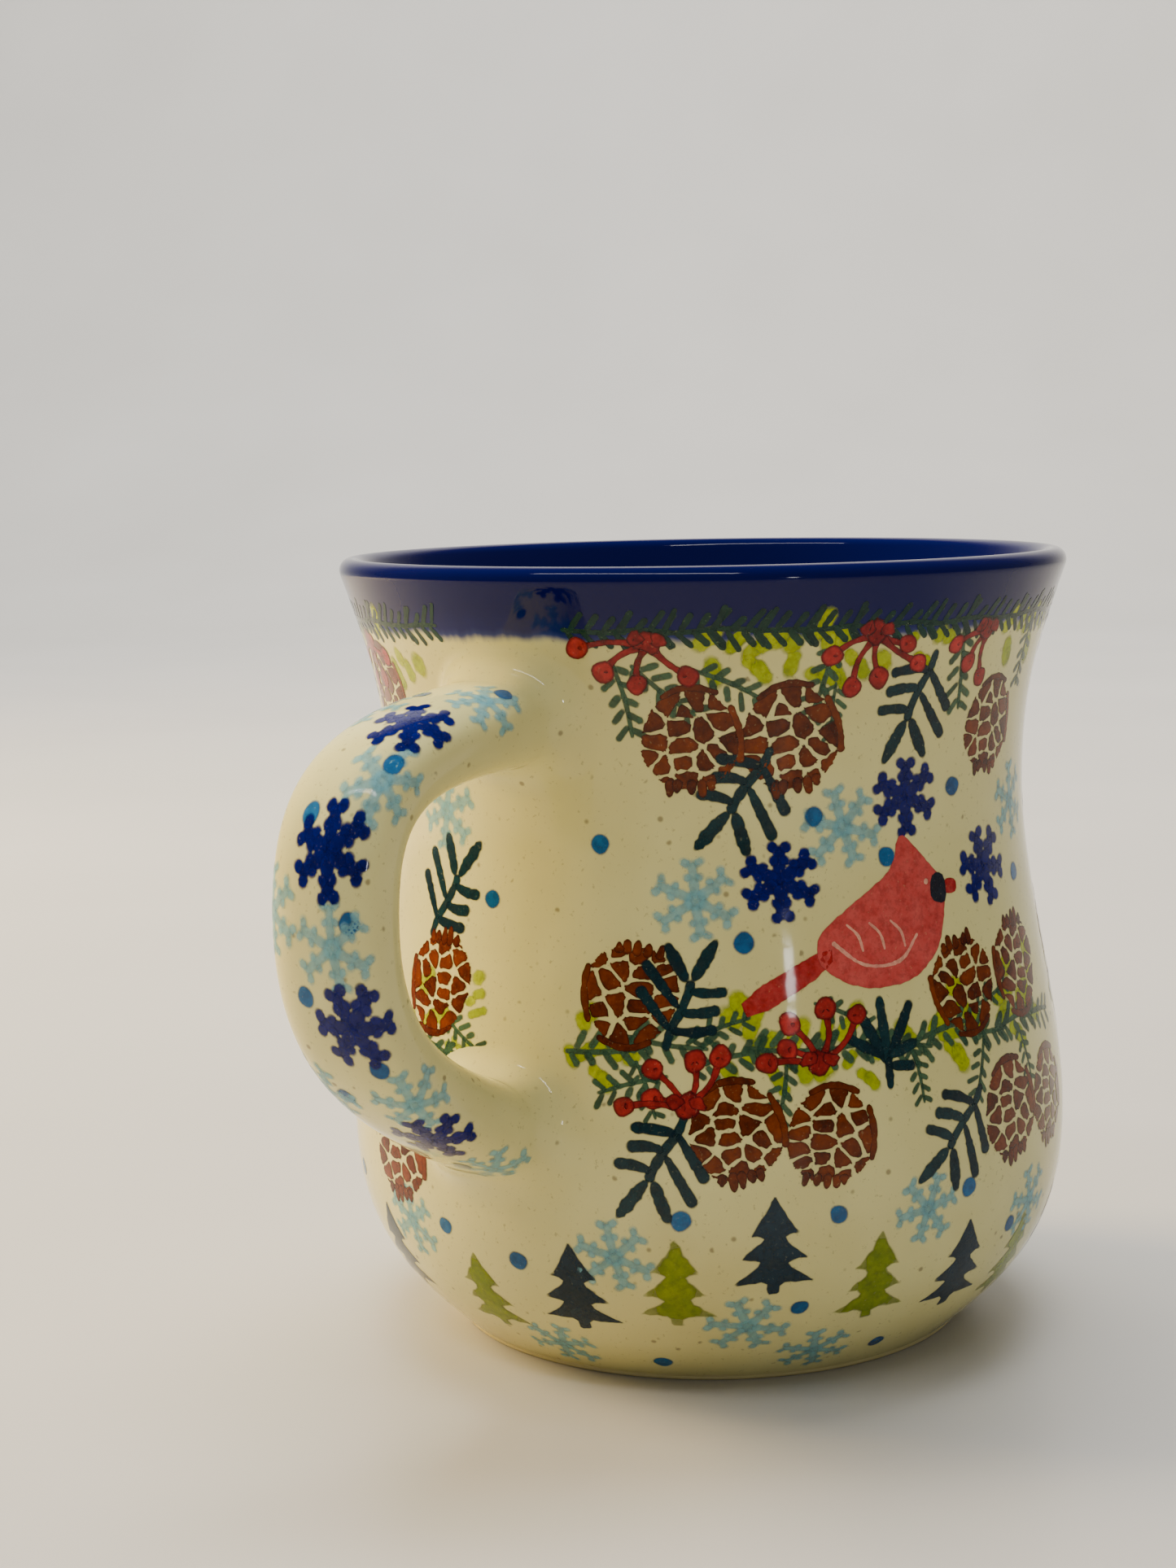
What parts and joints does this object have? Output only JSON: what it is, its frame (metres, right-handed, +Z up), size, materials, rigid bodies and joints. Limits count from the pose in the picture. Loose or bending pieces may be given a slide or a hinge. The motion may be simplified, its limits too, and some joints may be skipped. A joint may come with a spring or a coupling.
{
  "type": "stoneware mug",
  "caption": "Waisted stoneware mug with a flared rim, round belly, side strap handle and cobalt glaze lining, hand-painted in a winter garland pattern.",
  "frame": {"origin": "on the resting plane, under the middle of the whole mug's bounding box; the cup's own axis stands at x = +0.01625 m", "axes": "+Z up out of the mouth; the handle reaches out along -X; -Y is the side seen with the handle at the left"},
  "size_m": [0.1275, 0.095, 0.1015],
  "materials": {
    "stoneware": "gloss",
    "cobalt_glaze": "gloss",
    "slip": "gloss"
  },
  "bodies": {
    "root": {"cup_body": "stoneware", "cobalt_glaze": "cobalt_glaze", "handle": "stoneware", "upper_slip_joint": "slip", "lower_slip_joint": "slip"}
  },
  "joints": []
}
